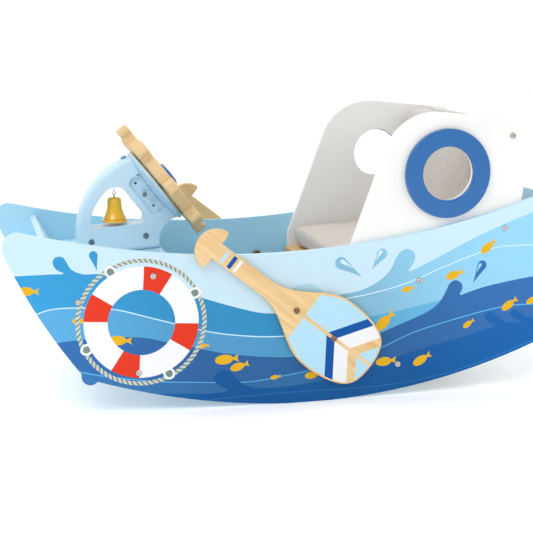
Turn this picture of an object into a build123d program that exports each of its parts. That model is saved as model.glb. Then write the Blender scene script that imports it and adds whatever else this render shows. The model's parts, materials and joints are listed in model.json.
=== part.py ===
from build123d import *
import os
from math import atan2, cos, degrees, hypot, radians, sin, sqrt

# Ride-on rocking boat, in millimetres. The boat is laid out level (deck and seat horizontal) with
# x towards the stern from the middle of the rockers, y to starboard and z up from the keel line.
# At the end everything is turned to the attitude in which the empty boat rests on a floor.

# ---- hull -------------------------------------------------------------------------------------
HULL_WIDTH = 360.0          # over the outer faces of the two side panels
PANEL = 9.0                 # thickness of the side panels and of the cabin sides
ROCKER_R = 1000.0           # radius of the curved bottom edges
GUNWALE_R = 1400.0          # radius of the sheer line
GUNWALE_X, GUNWALE_Z = -25.0, 234.0     # lowest point of the sheer line
BOW_X, STERN_X = -508.0, 432.0          # corners of the side panels before rounding
BOW_FOOT_X, STERN_FOOT_X = -400.0, 370.0
STEM_MID = (-458.0, 186.0)  # the stem bulges through this point
TRANSOM_MID = (405.5, 195.0)
TIP_R = 22.0                # rounding of the bow and stern tips
STOP_R = 13.0               # stop lobes that end the rocking at each end
REST_PITCH = 4.1            # bow-down attitude of the empty boat, degrees
REST_FLAT = 70.0            # length of the flat on each rocker that the empty boat rests on

# The side panels are bent towards each other at the bow, along a line raked like the stem.
BEND_X, BEND_Z = -130.0, 150.0
BEND_RAKE = 22.0
BEND_R = 900.0
BEND_ANGLE = 3.5
REACH = 700.0               # longer than any piece of the boat

# ---- cross members ------------------------------------------------------------------------------
BOARD = 9.0
BOW_BOARD_AT, BOW_BOARD_RAKE = (-398.0, 198.0), -24.5
STERN_BOARD_AT, STERN_BOARD_RAKE = (352.0, 190.0), 14.0
DECK_TOP, DECK_T, DECK_END = 235.0, 18.0, -251.0
FLOOR_TOP, FLOOR_T = 88.0, 12.0
FLOOR_FRONT, FLOOR_END = -338.0, 16.0
STRETCHER_AT = (72.0, 42.0)
WEIGHT_AT, WEIGHT_T, WEIGHT_DEPTH, WEIGHT_LENGTH = -368.0, 20.0, 40.0, 200.0

# ---- cabin --------------------------------------------------------------------------------------
SEAT_TOP, SEAT_T = 178.0, 15.0
SEAT_FRONT = -9.0
CABIN_FOOT = 150.0
BACK_AT, BACK_LEAN, BACK_T = (280.0, 371.0), 10.0, 12.0
BACK_DOWN, BACK_UP = 222.0, 22.0        # the back board's reach below and above BACK_AT
PORTHOLE_AT, PORTHOLE_R = (171.0, 325.0), 41.5
RING_OUTER, RING_INNER, RING_T = 67.5, 40.6, 8.0
CUSHION_T, BACK_CUSHION_T = 36.0, 55.0
CUSHION_WIDTH, COVER_T = 312.0, 6.0     # a cushion is a padded cover around a hollow

# ---- console, steering wheel and bell -------------------------------------------------------------
FIN_HALF, FIN_EDGE_R, WALL = 20.0, 8.0, 3.0
ARCH_X, ARCH_Z, ARCH_R = -252.5, 258.5, 127.0
WINDOW_X, WINDOW_Z, WINDOW_R, WINDOW_SILL = -271.0, 264.0, 89.0, 277.0
FIN_END = -253.0
DASH_AT, DASH_TILT, DASH_R = (-250.0, 331.0), 33.0, 64.5
DASH_FRONT, DASH_RIM, DASH_BULGE = 3.0, 4.0, 9.0
WHEEL_R, WHEEL_RIM, WHEEL_INNER, WHEEL_HUB, WHEEL_T = 103.0, 80.0, 55.0, 25.0, 18.0
HANDLES, SPOKE_HALF = 8, 7.0
AXLE_R, FIT = 6.0, 0.05     # axle radius and radial running clearance
BELL_X, STRING_TOP = -313.0, 336.0
BELL_CROWN, BELL_RIM_Z, BELL_RIM_R = 320.0, 281.5, 20.5

# ---- paddles --------------------------------------------------------------------------------------
PADDLE_AT, PADDLE_ANGLE, PADDLE_T = (-83.0, 149.0), -42.8, 9.0
PADDLE_BOLT_SPACING = 73.6
PADDLE_SPACER_T = 2.0
STARBOARD_PADDLE_SHIFT = (25.0, 20.0)

# ---- screws ---------------------------------------------------------------------------------------
SCREW_R, HEAD_R, HEAD_T, BORE_GAP = 2.5, 4.6, 2.0, 0.15

HALF = HULL_WIDTH / 2
INNER = HALF - PANEL                    # inner face of the parallel part of a side panel
PORT, STARBOARD = -1, 1
SIDES = {"port": PORT, "starboard": STARBOARD}
nodes = {}


# ---- helpers --------------------------------------------------------------------------------------
def rocker_z(x):
    return ROCKER_R - sqrt(ROCKER_R**2 - x**2)


def gunwale_z(x):
    return GUNWALE_Z + GUNWALE_R - sqrt(GUNWALE_R**2 - (x - GUNWALE_X)**2)


def side_plate(outline, y_top, thickness):
    """An outline in x and z, made solid from y_top down to y_top - thickness."""
    return extrude(Plane.XZ.offset(-y_top) * outline, thickness)


def to_side(solid, side):
    """Pieces are drawn for the port side; the starboard one is their mirror image."""
    return solid if side == PORT else mirror(solid, about=Plane.XZ)


def block(x0, x1, z0, z1, half_width):
    box = Box(x1 - x0, 2 * half_width, z1 - z0)
    return Pos((x0 + x1) / 2, 0, (z0 + z1) / 2) * box


def raked_board(at, rake, thickness, down, up, half_width):
    """A board that stands across the boat and leans by rake, its mid-plane passing through at."""
    board = Pos(0, 0, (up - down) / 2) * Box(thickness, 2 * half_width, up + down)
    return Pos(at[0], 0, at[1]) * Rot(0, rake, 0) * board


def edges_rounded(solid, radius, keep):
    """Round the edges that keep chooses."""
    return fillet([e for e in solid.edges() if keep(e)], radius)


def level(edge):
    """Choose edges that lie in a horizontal plane."""
    return abs(edge.bounding_box().size.Z) < 0.01


def on_faces(*levels):
    """Choose edges that lie wholly in one of the planes y = level."""
    def keep(edge):
        box = edge.bounding_box()
        return any(abs(box.min.Y - y) < 0.01 and abs(box.max.Y - y) < 0.01 for y in levels)
    return keep


# ---- the bent skin --------------------------------------------------------------------------------
bend_frame = Plane(
    origin=(BEND_X, 0, BEND_Z),
    x_dir=(cos(radians(BEND_RAKE)), 0, sin(radians(BEND_RAKE))),
    z_dir=(-sin(radians(BEND_RAKE)), 0, cos(radians(BEND_RAKE))),
)


def skin_points(inset, side):
    """Section of the bent side, inset from its outer face: stern end, bend start, middle, end, bow end."""
    radius = BEND_R - inset
    turn = radians(BEND_ANGLE)

    def on_bend(angle):
        return (-radius * sin(angle), BEND_R - HALF - radius * cos(angle))

    bend_end = on_bend(turn)
    bow_end = (bend_end[0] - REACH * cos(turn), bend_end[1] + REACH * sin(turn))
    points = [(REACH + 300, inset - HALF), on_bend(0), on_bend(turn / 2), bend_end, bow_end]
    return [(u, -side * y) for u, y in points]


def skin_line(points):
    stern, start, middle, end, bow = points
    return Line(stern, start) + ThreePointArc(start, middle, end) + Line(end, bow)


def between_skins(first, second):
    """The solid between two section lines, drawn along the bend."""
    outline = skin_line(first) + skin_line(second)
    outline += Line(first[0], second[0]) + Line(first[-1], second[-1])
    return extrude(bend_frame * make_face(outline), REACH, both=True)


def interior(gap):
    """The room between the two side panels, less a gap at each side."""
    return between_skins(skin_points(PANEL + gap, PORT), skin_points(PANEL + gap, STARBOARD))


def port_skin_at(x, z):
    """Plane on the outer face of the port panel at x and z, its normal pointing outboard."""
    rake, turn = radians(BEND_RAKE), radians(BEND_ANGLE)
    u = (x - BEND_X) * cos(rake) + (z - BEND_Z) * sin(rake)
    angle = 0.0 if u >= 0 else min(turn, -u / BEND_R)
    y = BEND_R - HALF - BEND_R * cos(angle)
    if angle == turn:
        y += (-u - BEND_R * sin(turn)) * sin(turn) / cos(turn)
    outboard = Vector(-sin(angle) * cos(rake), -cos(angle), -sin(angle) * sin(rake))
    return Plane(origin=(x, y, z), x_dir=(cos(rake), 0, sin(rake)), z_dir=outboard)


# ---- screws ---------------------------------------------------------------------------------------
def screw(length, shank=SCREW_R, head=HEAD_R):
    """A round-headed socket screw, its head standing on z = 0."""
    socket = Pos(0, 0, HEAD_T) * extrude(RegularPolygon(head * 0.45, 6), -1.2)
    top = Cylinder(head, HEAD_T, align=(Align.CENTER, Align.CENTER, Align.MIN))
    top = fillet(top.edges().sort_by(Axis.Z)[-1], HEAD_T * 0.6) - socket
    return top + Cylinder(shank, length, align=(Align.CENTER, Align.CENTER, Align.MAX))


def bore(length, radius=SCREW_R + BORE_GAP):
    return Pos(0, 0, 1) * Cylinder(radius, length + 2, align=(Align.CENTER, Align.CENTER, Align.MAX))


# Hull screws, each at x and z on the side panels; they run through the panel into a cross member.
HULL_SCREWS = {
    "bow board": (-398.0, 198.0),
    "foredeck": (-288.0, 224.0),
    "floor front": (-322.0, 82.0),
    "floor rear": (4.0, 82.0),
    "stretcher": STRETCHER_AT,
    "seat": (114.0, 168.0),
    "back": (257.0, 232.0),
    "stern board low": (342.0, 150.0),
    "stern board high": (362.0, 230.0),
}
HULL_SCREW_LENGTH = 38.0
CABIN_SCREW = (280.0, 371.0)


def hull_screw_planes():
    return [port_skin_at(x, z) for x, z in HULL_SCREWS.values()]


def cabin_screw_plane():
    return Plane(origin=(CABIN_SCREW[0], -INNER, CABIN_SCREW[1]), x_dir=(1, 0, 0), z_dir=(0, -1, 0))


def group(parts):
    """Separate solids that share one node."""
    return Compound(children=[solid for part in parts for solid in part.solids()])


port_bores = [plane * bore(HULL_SCREW_LENGTH) for plane in hull_screw_planes()]
port_bores.append(cabin_screw_plane() * bore(HULL_SCREW_LENGTH))


def bored(solid):
    """Cut the holes of the hull and cabin screws wherever they meet a piece."""
    for hole in port_bores:
        solid = solid - hole - mirror(hole, about=Plane.XZ)
    return solid


# ---- paddle frame -----------------------------------------------------------------------------------
def paddle_plane(side, height):
    """Plane of the paddle at its upper bolt, height above the hull's outer face, x towards the blade."""
    shift = STARBOARD_PADDLE_SHIFT if side == STARBOARD else (0.0, 0.0)
    slope = radians(PADDLE_ANGLE)
    origin = (PADDLE_AT[0] + shift[0], -(HALF + height), PADDLE_AT[1] + shift[1])
    return Plane(origin=origin, x_dir=(cos(slope), 0, sin(slope)), z_dir=(0, -1, 0))


def paddle_bolt_places():
    return [Pos(0, 0, 0), Pos(PADDLE_BOLT_SPACING, 0, 0)]


# ---- hull -------------------------------------------------------------------------------------------
def hull_outline():
    bow, stern = (BOW_X, gunwale_z(BOW_X)), (STERN_X, gunwale_z(STERN_X))
    bow_foot, stern_foot = (BOW_FOOT_X, rocker_z(BOW_FOOT_X)), (STERN_FOOT_X, rocker_z(STERN_FOOT_X))
    outline = ThreePointArc(bow, (GUNWALE_X, GUNWALE_Z), stern)
    outline += ThreePointArc(stern, TRANSOM_MID, stern_foot)
    outline += ThreePointArc(stern_foot, (0, 0), bow_foot)
    outline += ThreePointArc(bow_foot, STEM_MID, bow)
    face = make_face(outline)
    tips = face.vertices().sort_by(Axis.Y)[-2:]
    face = fillet(tips, TIP_R)
    for x in (BOW_FOOT_X + 8, STERN_FOOT_X - 8):
        face += Pos(x, rocker_z(x) + 5) * Circle(STOP_R)
    flat_out = sqrt(ROCKER_R**2 - (REST_FLAT / 2)**2)
    below = Pos(0, -flat_out) * Rectangle(2 * REST_FLAT, 20, align=(Align.CENTER, Align.MAX))
    return face - Pos(0, ROCKER_R) * Rot(0, 0, -REST_PITCH) * below


def hull_panel(side):
    skin = between_skins(skin_points(0, PORT), skin_points(PANEL, PORT))
    panel = skin & side_plate(hull_outline(), -HALF / 2, HALF)
    panel = bored(panel)
    slope_plane = paddle_plane(side, 0)
    for place in paddle_bolt_places():
        panel -= slope_plane * place * bore(PANEL + 2)
    return to_side(panel, side)


def bow_board():
    board = raked_board(BOW_BOARD_AT, BOW_BOARD_RAKE, BOARD, 92, 92, HALF)
    return bored(board & interior(0))


def stern_board():
    board = raked_board(STERN_BOARD_AT, STERN_BOARD_RAKE, BOARD + 3, 70, 75, INNER)
    return bored(board)


def foredeck():
    deck = block(-420, DECK_END, DECK_TOP - DECK_T, DECK_TOP, HALF) & interior(0.15)
    ahead = Pos(BOARD / 2 + 0.1 - HALF, 0, 0) * Box(2 * HALF, 3 * HALF, 2 * HALF)
    deck -= Pos(BOW_BOARD_AT[0], 0, BOW_BOARD_AT[1]) * Rot(0, BOW_BOARD_RAKE, 0) * ahead
    for half in (PORT, STARBOARD):
        for x in CONSOLE_FOOT_SCREWS:
            deck -= Pos(x, half * CONSOLE_FOOT_Y, DECK_TOP) * bore(DECK_T + 2)
    for place in weight_screw_places():
        deck -= place * bore(WEIGHT_T + 14)
    return bored(deck)


def floor_board():
    return bored(block(FLOOR_FRONT, FLOOR_END, FLOOR_TOP - FLOOR_T, FLOOR_TOP, HALF) & interior(0.15))


def stretcher():
    x, z = STRETCHER_AT
    beam = block(x - 20, x + 20, z - 12, z + 12, INNER)
    return bored(fillet(beam.edges().filter_by(Axis.Y), 3))


def bow_weight():
    """Steel bar under the foredeck: it brings the empty boat's balance forward over the rest flats."""
    half = WEIGHT_DEPTH / 2
    bar = block(WEIGHT_AT - half, WEIGHT_AT + half, 0, WEIGHT_T, WEIGHT_LENGTH / 2)
    bar = Pos(0, 0, DECK_TOP - DECK_T - WEIGHT_T) * bar
    for plane in weight_screw_places():
        bar -= plane * bore(WEIGHT_T + 2)
    return bar


def weight_screw_places():
    under = DECK_TOP - DECK_T - WEIGHT_T
    return [Pos(WEIGHT_AT + 8, y, under) * Rot(180, 0, 0) for y in (-80, 80)]


# ---- cabin ------------------------------------------------------------------------------------------
def cabin_outline():
    """Cabin side: a raked front edge, a large round shoulder and a back edge that leans like the seat."""
    front_foot, front_knee, shoulder = (-2, CABIN_FOOT), (-2, 200), (103, 428.4)
    back_top, back_foot = (313, 392), (269, CABIN_FOOT)
    face = make_face(Polyline(front_foot, front_knee, shoulder, back_top, back_foot, close=True))
    for point, radius in ((front_knee, 30), (shoulder, 85), (back_top, 14)):
        corner = face.vertices().sort_by_distance((point[0], point[1], 0))[0]
        face = fillet(corner, radius)
    return face - Pos(*PORTHOLE_AT) * Circle(PORTHOLE_R)


def cabin_side(side):
    plate = side_plate(cabin_outline(), PANEL - INNER, PANEL)
    plate = edges_rounded(plate, 1.5, on_faces(-INNER, PANEL - INNER))
    return to_side(bored(plate), side)


def porthole_ring(side):
    ring = side_plate(Pos(*PORTHOLE_AT) * (Circle(RING_OUTER) - Circle(RING_INNER)), -INNER, RING_T)
    return to_side(edges_rounded(ring, 2.5, on_faces(-INNER - RING_T)), side)


SEAT_HALF = INNER - PANEL               # between the inner faces of the cabin sides


def back_board():
    board = raked_board(BACK_AT, BACK_LEAN, BACK_T, BACK_DOWN, BACK_UP, SEAT_HALF)
    return bored(board)


def padded_cover(length, width, height):
    """A hollow pad centred on the origin, its edges well rounded."""
    pad = Box(length, width, height)
    pad = fillet(pad.edges(), 8)
    return pad - Box(length - 2 * COVER_T, width - 2 * COVER_T, height - 2 * COVER_T)


def back_cushion():
    up, down = BACK_UP + 5, BACK_DOWN - 36
    pad = Pos(0, 0, (up - down) / 2) * padded_cover(BACK_CUSHION_T, CUSHION_WIDTH, up + down)
    pad = Pos(-(BACK_T + BACK_CUSHION_T) / 2 - 0.3, 0, 0) * pad
    return Pos(BACK_AT[0], 0, BACK_AT[1]) * Rot(0, BACK_LEAN, 0) * pad


def back_face_x(z):
    """Front face of the back board at height z."""
    lean = radians(BACK_LEAN)
    return BACK_AT[0] - (BACK_AT[1] - z) * sin(lean) / cos(lean) - BACK_T / 2 / cos(lean)


def seat_board():
    board = block(SEAT_FRONT, back_face_x(SEAT_TOP - SEAT_T) - 0.1, SEAT_TOP - SEAT_T, SEAT_TOP, SEAT_HALF)
    return bored(board)


def seat_rail(x):
    rail = block(x, x + 20, SEAT_TOP - SEAT_T - 32, SEAT_TOP - SEAT_T, SEAT_HALF)
    return fillet(rail.edges().filter_by(Axis.Y), 2)


def seat_cushion():
    front, back = SEAT_FRONT + 7, back_face_x(SEAT_TOP) - BACK_CUSHION_T - 4
    pad = padded_cover(back - front, CUSHION_WIDTH, CUSHION_T)
    return Pos((front + back) / 2, 0, SEAT_TOP + CUSHION_T / 2 + 0.3) * pad


# ---- console ----------------------------------------------------------------------------------------
CONSOLE_FOOT_SCREWS = (-342.0, -278.0)
CONSOLE_FOOT_Y = 9.0
CONSOLE_SCREWS = ((-358.0, 257.0), (-273.0, 257.0))
dash_plane = Plane(
    origin=(DASH_AT[0], 0, DASH_AT[1]),
    x_dir=(sin(radians(DASH_TILT)), 0, -cos(radians(DASH_TILT))),
    z_dir=(cos(radians(DASH_TILT)), 0, sin(radians(DASH_TILT))),
)


def dash_point(along, out):
    """A point of the mid-plane, along the dash's downward slope and out from its centre, as x and z."""
    tilt = radians(DASH_TILT)
    x = DASH_AT[0] + along * sin(tilt) + out * cos(tilt)
    return (x, DASH_AT[1] - along * cos(tilt) + out * sin(tilt))


def arch_point(angle, radius=ARCH_R):
    return (ARCH_X + radius * cos(radians(angle)), ARCH_Z + radius * sin(radians(angle)))


ARCH_END = 105.8


def fin_outline(inset=0.0):
    """The fin's outline: front arch, dash slope and hollow back edge, all inset by the same amount."""
    radius = ARCH_R - inset
    foot = DECK_TOP + inset
    outline = Line((ARCH_X - radius, foot), (ARCH_X - radius, ARCH_Z))
    arch_end = arch_point(ARCH_END, radius)
    outline += ThreePointArc((ARCH_X - radius, ARCH_Z), arch_point(140, radius), arch_end)
    top, bottom = dash_point(-60 + inset, -1 - inset), dash_point(59 - inset, -1 - inset)
    outline += Line(arch_end, top) + Line(top, bottom)
    heel = (FIN_END - inset, DECK_TOP + 8)
    outline += ThreePointArc(bottom, (FIN_END + 8 - inset, DECK_TOP + 32), heel)
    outline += Line(heel, (FIN_END - inset, foot))
    outline += Line((FIN_END - inset, foot), (ARCH_X - radius, foot))
    return make_face(outline)


def window_outline(grow=0.0):
    """Rounded triangle: an arc in front, a line parallel to the dash behind, level below."""
    sill, radius, out = WINDOW_SILL - grow, WINDOW_R + grow, grow - 41.0
    disc = Pos(WINDOW_X, WINDOW_Z) * Circle(radius)
    behind = Pos(*dash_point(0, out)) * Rot(0, 0, DASH_TILT) * Pos(-ARCH_R, 0) * Rectangle(2 * ARCH_R, 4 * ARCH_R)
    above = Pos(WINDOW_X, sill) * Rectangle(4 * ARCH_R, 2 * ARCH_R, align=(Align.CENTER, Align.MIN))
    face = (disc & behind & above).faces()[0]
    apex = face.vertices().sort_by(Axis.Y)[-1]
    face = fillet(apex, 20.0 + grow)
    low = face.vertices().sort_by(Axis.Y)[:2]
    return fillet(low, 9.0 + grow)


def pocket_outline(grow=0.0):
    """Recess beside the dash, where its three bosses are."""
    corners = [dash_point(-34 - grow, -31 - grow), dash_point(-34 - grow, -8), dash_point(33 + grow, -8)]
    corners.append(dash_point(33 + grow, -31 - grow))
    face = make_face(Polyline(*corners, close=True))
    inner = [face.vertices().sort_by_distance((*corners[i], 0))[0] for i in (0, 3)]
    return fillet(inner, 8)


DASH_BOSSES = (-24.0, -1.5, 21.0)       # along the slope; the middle one takes the screw
DASH_BOSS_OUT = -20.5
RIBS = (-33.0, -10.0, 10.0, 32.5)
POCKET_FLOOR = FIN_HALF - 6.0


def on_arch(edge):
    """Choose the edges that bound the fin's face along its front."""
    box = edge.bounding_box()
    front_foot = abs(box.min.X - (ARCH_X - ARCH_R)) < 0.01
    return abs(box.max.Y + FIN_HALF) < 0.01 and front_foot


def console_half(side):
    """One moulded half of the console: an open shell with the window through it, closed at y = 0."""
    window = window_outline()
    half = side_plate(fin_outline() - window, 0, FIN_HALF)
    half = edges_rounded(half, FIN_EDGE_R, on_arch)
    hollow = fin_outline(WALL) - window_outline(WALL)
    cavity = side_plate(hollow, 1, FIN_HALF - WALL + 1)
    cavity -= side_plate(pocket_outline(WALL), WALL - POCKET_FLOOR, FIN_HALF)
    half -= cavity
    half -= side_plate(pocket_outline(), -POCKET_FLOOR, FIN_HALF)
    for along in RIBS:
        rib = Box(1.6, FIN_HALF - POCKET_FLOOR + 0.5, 12)
        at = dash_point(along, -14)
        half += Pos(at[0], -(FIN_HALF + POCKET_FLOOR) / 2, at[1]) * Rot(0, DASH_TILT + 57, 0) * rib
    for x, z in CONSOLE_SCREWS:
        half += Pos(x, -(FIN_HALF - 1) / 2, z) * Rot(90, 0, 0) * Cylinder(5.5, FIN_HALF - 1)
    half += Pos(dash_point(0, DASH_BOSS_OUT)[0], -(POCKET_FLOOR - 1) / 2, dash_point(0, DASH_BOSS_OUT)[1]) \
        * Rot(90, 0, 0) * Cylinder(5.5, POCKET_FLOOR - 1)
    for x in CONSOLE_FOOT_SCREWS:
        half += Pos(x, -CONSOLE_FOOT_Y, DECK_TOP + 9) * Cylinder(5, 18)
        half -= Pos(x, -CONSOLE_FOOT_Y, DECK_TOP + 4) * Cylinder(SCREW_R + BORE_GAP, 24)
    half -= Pos(0, HALF / 2, 0) * Box(8 * ARCH_R, HALF, 8 * ARCH_R)
    half = to_side(half, side)
    for x, z in CONSOLE_SCREWS:
        half -= console_screw_plane(x, z, FIN_HALF) * bore(2 * FIN_HALF - 4)
    for along in DASH_BOSSES:
        x, z = dash_point(along, DASH_BOSS_OUT)
        half -= console_screw_plane(x, z, POCKET_FLOOR) * bore(2 * POCKET_FLOOR - 4, 1.9)
    half -= dash_plane * dash_blank(0.2)
    half -= dash_plane * Cylinder(AXLE_R + 1, 80)
    half -= Pos(BELL_X, 0, STRING_TOP + 1) * Cylinder(1.2, 14)
    half -= plug_place() * Cylinder(3.0, 8)
    return half


def console_screw_plane(x, z, y):
    return Plane(origin=(x, -y, z), x_dir=(1, 0, 0), z_dir=(0, -1, 0))


def plug_place():
    """Axis of the small plug at the top of the arch, pointing outward from the arch."""
    x, z = arch_point(ARCH_END + 3, ARCH_R)
    return Pos(x, 0, z) * Rot(0, 90 - ARCH_END - 3, 0)


def dash_blank(grow=0.0):
    """A disc with a flat front and a bulging back, on the dash axis."""
    radius = DASH_R + grow
    back = -DASH_BULGE - grow
    rim = DASH_FRONT - DASH_RIM - grow
    profile = Line((0, back), (0, DASH_FRONT)) + Line((0, DASH_FRONT), (radius, DASH_FRONT))
    profile += Line((radius, DASH_FRONT), (radius, rim))
    profile += ThreePointArc((radius, rim), (radius * 0.55, back * 0.72 + rim * 0.28), (0, back))
    return revolve(Plane.XZ * make_face(profile), Axis.Z)


def dash():
    disc = edges_rounded(dash_blank(), 1.2, lambda e: e.bounding_box().min.Z > DASH_FRONT - 0.01)
    disc -= Cylinder(AXLE_R + 0.02, 60)
    return dash_plane * disc


def top_plug():
    plug = Pos(0, 0, 1.5) * Cylinder(4.5, 3) + Pos(0, 0, -1.5) * Cylinder(2.95, 5)
    plug = fillet(plug.edges().sort_by(Axis.Z)[-1], 1.2)
    x, z = arch_point(ARCH_END + 3, ARCH_R)
    return plug_place() * plug


# ---- steering wheel -----------------------------------------------------------------------------------
WHEEL_BACK = DASH_FRONT + 3.0           # distance of the wheel's back face out from the dash centre
WHEEL_FRONT = WHEEL_BACK + WHEEL_T


def handle_outline():
    """One handle of the wheel, pointing along +x: a neck that swells to a rounded knob."""
    neck, knob = 7.0, 11.0
    side = Line((WHEEL_RIM - 6, neck + 5), (WHEEL_RIM + 1, neck + 1))
    side += ThreePointArc((WHEEL_RIM + 1, neck + 1), (WHEEL_RIM + 7, neck), (WHEEL_RIM + 12, knob - 1))
    side += ThreePointArc((WHEEL_RIM + 12, knob - 1), (WHEEL_R - 5, knob), (WHEEL_R, knob - 5))
    side += Line((WHEEL_R, knob - 5), (WHEEL_R, 0))
    side += Line((WHEEL_R, 0), (WHEEL_RIM - 6, 0)) + Line((WHEEL_RIM - 6, 0), (WHEEL_RIM - 6, neck + 5))
    half = make_face(side)
    return half + mirror(half, about=Plane.XZ)


def steering_wheel():
    face = Circle(WHEEL_RIM)
    step = 360 / HANDLES
    for i in range(HANDLES):
        face += Rot(0, 0, i * step) * handle_outline()
    quadrant = Pos(SPOKE_HALF, SPOKE_HALF) * Rectangle(WHEEL_R, WHEEL_R, align=Align.MIN)
    gap = (Circle(WHEEL_INNER) - Circle(WHEEL_HUB)) & quadrant
    gap = fillet(gap.vertices(), 4)
    for i in range(4):
        face -= Rot(0, 0, i * 90) * gap
    wheel = extrude(face, WHEEL_T)
    wheel = edges_rounded(wheel, 1.5, level)
    wheel -= Cylinder(AXLE_R + FIT, 4 * WHEEL_T)
    wheel -= Pos(0, 0, WHEEL_T - 3.5) * Cylinder(15, 7)
    return dash_plane * Pos(0, 0, WHEEL_BACK) * wheel


def axle():
    """Fixed pin through the dash; its flange keeps the wheel on, sunk below the wheel's front face."""
    pin_end = WHEEL_FRONT - 4
    pin = Cylinder(AXLE_R, pin_end + 4, align=(Align.CENTER, Align.CENTER, Align.MAX))
    pin = Pos(0, 0, pin_end) * pin
    flange = Pos(0, 0, pin_end - 1.4) * Cylinder(13, 2.8)
    return dash_plane * (pin + flange)


def wheel_washer():
    washer = Pos(0, 0, (DASH_FRONT + WHEEL_BACK) / 2) * Cylinder(16, WHEEL_BACK - DASH_FRONT - 0.2)
    return dash_plane * (washer - Cylinder(AXLE_R + 0.2, 200))


def hub_cap():
    cap = Cylinder(21, 8, align=(Align.CENTER, Align.CENTER, Align.MIN))
    cap = fillet(cap.edges().sort_by(Axis.Z)[-1], 5)
    return dash_plane * Pos(0, 0, WHEEL_FRONT) * cap


# ---- bell -------------------------------------------------------------------------------------------
def loop(z, radius, wire, turned):
    """A wire ring in the x-z plane, or in the y-z plane when turned."""
    ring = Rot(90, 0, 0) * Torus(radius, wire)
    return Pos(BELL_X, 0, z) * (Rot(0, 0, 90) * ring if turned else ring)


STRING_LOOP, STRING_WIRE = 2.4, 0.6
EYE, EYE_WIRE = 2.6, 0.8
STRING_LOOP_Z = STRING_TOP - 7.6 - STRING_LOOP
EYE_Z = STRING_LOOP_Z - STRING_LOOP + STRING_WIRE + 0.05 + EYE_WIRE - EYE


def bell_string():
    cord = Pos(BELL_X, 0, STRING_TOP - 3.9) * Cylinder(STRING_WIRE, 7.8)
    return cord + loop(STRING_LOOP_Z, STRING_LOOP, STRING_WIRE, False)


# The bell hangs plumb when the boat is at rest, so it leans in the level layout.
plumb = Pos(BELL_X, 0, STRING_TOP) * Rot(0, REST_PITCH, 0) * Pos(-BELL_X, 0, -STRING_TOP)
STAPLE_Z = BELL_CROWN - 4.2
CLAPPER_EYE_Z = STAPLE_Z - 2.3 + 0.6 + 0.05 + 0.5 - 1.9


def bell():
    """A turned bell with a groove above its flared lip, an eye on its crown and a staple inside."""
    rim, crown = BELL_RIM_Z, BELL_CROWN
    outer = Line((0, crown), (5, crown))
    outer += ThreePointArc((5, crown), (9.3, crown - 1.8), (11, crown - 6))
    outer += ThreePointArc((11, crown - 6), (13.6, rim + 15), (18.2, rim + 5.4))
    outer += Line((18.2, rim + 5.4), (17.0, rim + 4.6)) + Line((17.0, rim + 4.6), (17.0, rim + 3.2))
    outer += ThreePointArc((17.0, rim + 3.2), (BELL_RIM_R, rim + 2.0), (19.6, rim))
    outer += Line((19.6, rim), (16.2, rim))
    outer += ThreePointArc((16.2, rim), (11.8, rim + 16), (9, crown - 6)) + Line((9, crown - 6), (0, crown - 2.4))
    outer += Line((0, crown - 2.4), (0, crown))
    body = Pos(BELL_X, 0, 0) * revolve(Plane.XZ * make_face(outer), Axis.Z)
    neck = Pos(BELL_X, 0, (crown + EYE_Z - EYE) / 2) * Cylinder(1.8, abs(crown - EYE_Z + EYE) + 0.8)
    staple = loop(STAPLE_Z, 2.3, 0.6, True)
    return body + neck + loop(EYE_Z, EYE, EYE_WIRE, True) + staple


def clapper():
    ball_z = BELL_RIM_Z + 1.0
    stem_top = CLAPPER_EYE_Z - 1.9
    stem = Pos(BELL_X, 0, (stem_top + ball_z) / 2) * Cylinder(0.9, stem_top - ball_z)
    ball = Pos(BELL_X, 0, ball_z) * Sphere(3.8)
    return stem + ball + loop(CLAPPER_EYE_Z, 1.9, 0.5, False)


# ---- paddles ------------------------------------------------------------------------------------------
PADDLE_SHAFT, BLADE_HALF, BLADE_END = 13.0, 58.5, 149.0
GRIP_AT, GRIP_R = -152.0, 32.0


def paddle_outline():
    flare = Spline(
        (-62, PADDLE_SHAFT), (-8, 29), (42, 56), (86, BLADE_HALF), (126, 49), (BLADE_END, 0),
        tangents=((1, 0), (0, -1)),
    )
    half = make_face(flare + Polyline((BLADE_END, 0), (-62, 0), (-62, PADDLE_SHAFT)))
    shaft = Pos((GRIP_AT - 62) / 2, 0) * Rectangle(-62 - GRIP_AT + 20, 2 * PADDLE_SHAFT)
    grip = Pos(GRIP_AT, 0) * (Circle(GRIP_R) & Rectangle(GRIP_R, 2 * GRIP_R, align=(Align.MAX, Align.CENTER)))
    grip = fillet(grip.vertices(), 5)
    return half + mirror(half, about=Plane.XZ) + shaft + grip


def paddle(side):
    blank = extrude(paddle_outline(), PADDLE_T)
    blank = edges_rounded(blank, 2, level)
    for place in paddle_bolt_places():
        blank -= place * Pos(0, 0, PADDLE_T) * bore(PADDLE_T + 2)
    return to_side(paddle_plane(side, PADDLE_SPACER_T) * blank, side)


def paddle_spacers():
    spacers = []
    for side in (PORT, STARBOARD):
        for place in paddle_bolt_places():
            washer = Cylinder(7, PADDLE_SPACER_T, align=(Align.CENTER, Align.CENTER, Align.MIN))
            washer -= Cylinder(SCREW_R + BORE_GAP, 20)
            spacers.append(to_side(paddle_plane(side, 0) * place * washer, side))
    return group(spacers)


def paddle_bolts():
    bolts = []
    length = PADDLE_T + PADDLE_SPACER_T + PANEL + 4
    for side in (PORT, STARBOARD):
        for place in paddle_bolt_places():
            bolts.append(to_side(paddle_plane(side, PADDLE_T + PADDLE_SPACER_T) * place * screw(length), side))
    return group(bolts)


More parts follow.
